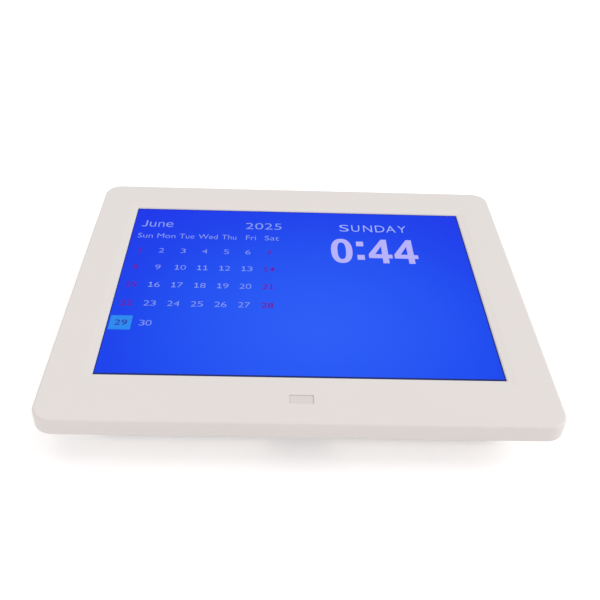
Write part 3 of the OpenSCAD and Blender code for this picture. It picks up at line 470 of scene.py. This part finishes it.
CAPITAL_J_AT, CAPITAL_J_SIZE = (-77.3, 47.25), (2.6, 5.65)
MONTH_Y = (47.3, 51.7)
MONTH_LETTERS = (("u", -73.6, -70.55), ("n", -69.3, -66.4), ("e", -65.6, -62.05))
YEAR_BOX = (-26.2, -8.4, 47.05, 52.65)
WEEKDAY_Y = (37.4, 41.4)
WEEKDAYS = (("Sun", -78.0, -70.75), ("Mon", -68.6, -59.85), ("Tue", -57.85, -50.7), ("Wed", -48.65, -39.45),
            ("Thu", -37.35, -30.35), ("Fri", -25.65, -20.85), ("Sat", -16.5, -9.6))
DAYS, TODAY = 30, 29
DATE_X, DATE_Y, DATE_SIZE = -75.3, 26.85, (2.45, 3.6)  # the first number's middle, and a digit's size
COLUMN_PITCH, ROW_PITCH, ROW_DRIFT = 10.22, 13.47, 0.06
TODAY_BOX = (-80.3, -71.1, -31.7, -22.4)
TITLE_Y = (46.85, 52.85)
TITLE_LETTERS = (("S", 20.45, 25.1), ("U", 26.5, 30.45), ("N", 32.4, 36.75), ("D", 38.35, 43.0),
                 ("A", 43.75, 48.5), ("Y", 49.7, 53.8))
ZERO_AT, ZERO_SIZE, ZERO_HOLE = (20.6, 29.95), (10.3, 20.4, 2.3), (4.05, 14.0, 2.6)
DOTS_X, DOTS_Y, DOT_HALF = 29.6, (36.05, 24.7), (1.75, 2)
FOURS_AT, FOUR_SIZE = ((33.4, 20.2), (45.7, 20.25)), (11.3, 20.0)


def display_piece(name, parts, material, lift=LIFT):
    thin_piece(name, parts, material, SCREEN_TOP + lift, FILM, "case")


def make_calendar():
    soft = glyph_material("display_soft", srgb(126, 148, 232), srgb(146, 168, 238))
    dark_red = glyph_material("display_dark_red", srgb(98, 4, 160), srgb(110, 3, 150))
    light_blue = glyph_material("display_light_blue", srgb(41, 134, 236), srgb(45, 139, 240))
    dark_blue = glyph_material("display_dark_blue", srgb(34, 56, 158), srgb(40, 62, 166))

    month = [placed(flat_mesh(CAPITAL_J), *CAPITAL_J_AT, *CAPITAL_J_SIZE)]
    month += [fitted(letter, x0, x1, *MONTH_Y) for letter, x0, x1 in MONTH_LETTERS]
    display_piece("calendar_month", month, soft)
    display_piece("calendar_year", [fitted("2025", *YEAR_BOX)], soft)
    display_piece("weekday_names", [fitted(word, x0, x1, *WEEKDAY_Y) for word, x0, x1 in WEEKDAYS], soft)

    plain, weekend, today = [], [], []
    for number in range(1, DAYS + 1):
        row, column = divmod(number - 1, 7)
        group = today if number == TODAY else weekend if column in (0, 6) else plain
        group += number_parts(number, DATE_X + COLUMN_PITCH * column - ROW_DRIFT * row, DATE_Y - ROW_PITCH * row,
                              *DATE_SIZE, PLAIN_WEIGHT if group is plain else STRONG_WEIGHT)
    display_piece("date_numbers", plain, soft)
    display_piece("weekend_numbers", weekend, dark_red)
    display_piece("today_cell", [placed(rectangle(*TODAY_BOX))], light_blue)
    display_piece("today_number", today, dark_blue, UPPER_LIFT)


def make_title_and_time():
    pale = glyph_material("display_pale", srgb(154, 174, 244), srgb(174, 192, 250))
    lavender = glyph_material("display_lavender", srgb(178, 173, 246), srgb(186, 182, 252))
    title = [fitted(letter, x0, x1, *TITLE_Y) for letter, x0, x1 in TITLE_LETTERS]
    display_piece("weekday_title", title, pale)

    dot = rectangle(-DOT_HALF[0], DOT_HALF[0], -DOT_HALF[1], DOT_HALF[1])
    four = flat_mesh(FOUR, [FOUR_HOLE])
    time = [placed(flat_mesh(oval(*ZERO_SIZE), [oval(*ZERO_HOLE)]), *ZERO_AT)]
    time += [placed(dot, DOTS_X, y) for y in DOTS_Y]
    time += [placed(four, x, y, *FOUR_SIZE) for x, y in FOURS_AT]
    display_piece("clock_time", time, lavender)


make_calendar()
make_title_and_time()


# ---- The signs printed on the keys behind ----

STROKE = 0.22  # half a stroke's width


def ring_with_gap(outer, inner, half_gap, steps=28):
    """The outline of a ring that is open at the top; half its gap is given in degrees."""
    angles = [math.radians(90 + half_gap + (360 - 2 * half_gap) * i / steps) for i in range(steps + 1)]
    return ([(outer * math.cos(a), outer * math.sin(a)) for a in angles]
            + [(inner * math.cos(a), inner * math.sin(a)) for a in reversed(angles)])


def saltire(reach):
    """The outline of two bars that cross, each at 45 degrees."""
    ring = []
    for degrees in (45, -45, -135, -225):
        c, s = math.cos(math.radians(degrees)), math.sin(math.radians(degrees))
        ring += [(x * c - y * s, x * s + y * c) for x, y in ((STROKE, STROKE), (reach, STROKE), (reach, -STROKE))]
    return ring


def make_key_signs():
    """Plain signs, as they are read from behind, where +X lies to the left."""
    ink = plastic("grey_ink", srgb(104, 102, 102), rough=0.6, grain=0.000004, vary=0.06)
    open_ring = flat_mesh(ring_with_gap(1.5, 1.08, 32))
    stem = rectangle(-STROKE, STROKE, 0.3, 1.7)
    bar = rectangle(-1.5, 1.5, -STROKE, STROKE)
    upward = flat_mesh([(0, 1.2), (-1.35, -0.9), (1.35, -0.9)])
    leftward = flat_mesh([(1.2, 0), (-0.9, -1.35), (-0.9, 1.35)])
    signs = {
        "power_key": [placed(open_ring), placed(stem)],
        "menu_key": [placed(bar, y=y) for y in (-0.95, 0, 0.95)],
        "up_key": [placed(upward)],
        "left_key": [placed(leftward)],
        "right_key": [placed(leftward, wide=-1)],
        "down_key": [placed(upward, high=-1)],
        "exit_key": [placed(flat_mesh(saltire(1.6)))],
    }
    for key, parts in signs.items():
        low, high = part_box(key)
        middle_x, middle_y = (low.x + high.x) / 2 / MM, (low.y + high.y) / 2 / MM
        parts = [placed(mesh, x + middle_x, y + middle_y, sx, sy) for mesh, sx, sy, x, y in parts]
        thin_piece(key + "_sign", parts, ink, low.z, -FILM, key)


make_key_signs()


# ---- Finishes of the CAD pieces ----

def dress(material, *names):
    """Give nodes of the CAD model a material."""
    for name in names:
        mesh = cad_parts[name].data
        mesh.materials.clear()
        mesh.materials.append(material)


shell = plastic("shell_plastic", srgb(230, 225, 222), rough=0.5, vary=0.006)
dress(shell, "front_bezel", "rear_cover", "stand_leg")
dress(plastic("window_plastic", srgb(222, 216, 214), rough=0.3, grain=0.000005, vary=0.01), "ir_window")
dress(plastic("key_plastic", srgb(220, 214, 211), rough=0.4, vary=0.01),
      "power_key", "menu_key", "up_key", "left_key", "right_key", "down_key", "exit_key")
dress(screen_material(), "lcd_glass")
dress(plastic("black_foam", (0.012, 0.012, 0.013, 1), rough=0.9, grain=0.0001, grain_scale=900), "screen_gasket")
dress(metal("module_steel", srgb(176, 178, 182), rough=0.35), "lcd_frame", "lcd_back_plate", "lcd_brackets")
dress(plastic("light_guide", srgb(236, 238, 243), rough=0.25, vary=0.01), "lcd_backlight")
dress(metal("screw_steel", srgb(172, 173, 176), rough=0.28, line_scale=900), "bracket_screws", "ir_screws",
      "board_screws", "key_board_screws", "case_screws", "hinge_pin", "hinge_washers")
dress(metal("socket_steel", srgb(190, 191, 194), rough=0.25), "usb_shell", "sd_socket", "speaker_frame")
dress(plastic("solder_mask", srgb(24, 92, 52), rough=0.3, grain=0.00001, vary=0.1), "main_board", "key_board",
      "ir_board")
dress(plastic("black_nylon", (0.014, 0.014, 0.016, 1), rough=0.42, vary=0.1), "dc_jack", "usb_tongue",
      "board_chips", "cell_holder", "key_switches", "ir_receiver", "power_inductor")
dress(metal("nickel_brass", srgb(196, 188, 160), rough=0.22), "dc_jack_pin")
dress(metal("cell_can", srgb(200, 200, 203), rough=0.2), "coin_cell", "board_capacitors")
dress(plastic("cream_nylon", srgb(226, 216, 192), rough=0.45), "cable_connectors")
dress(plastic("grey_flat_cable", srgb(182, 184, 190), rough=0.4), "ir_cable", "key_cable")
dress(plastic("amber_film", srgb(196, 128, 52), rough=0.25), "lcd_cable")
dress(plastic("paper_cone", srgb(52, 52, 55), rough=0.8, grain=0.00008, grain_scale=700), "speaker_cone")
dress(plastic("red_wire", srgb(170, 26, 24), rough=0.4), "speaker_wires")
dress(plastic("grey_rubber", (0.03, 0.03, 0.032, 1), rough=0.75, grain=0.00006, grain_scale=1500, vary=0.08),
      "rubber_feet", "stand_tip_pad")

scene = bpy.context.scene
scene.view_settings.view_transform = "Standard"
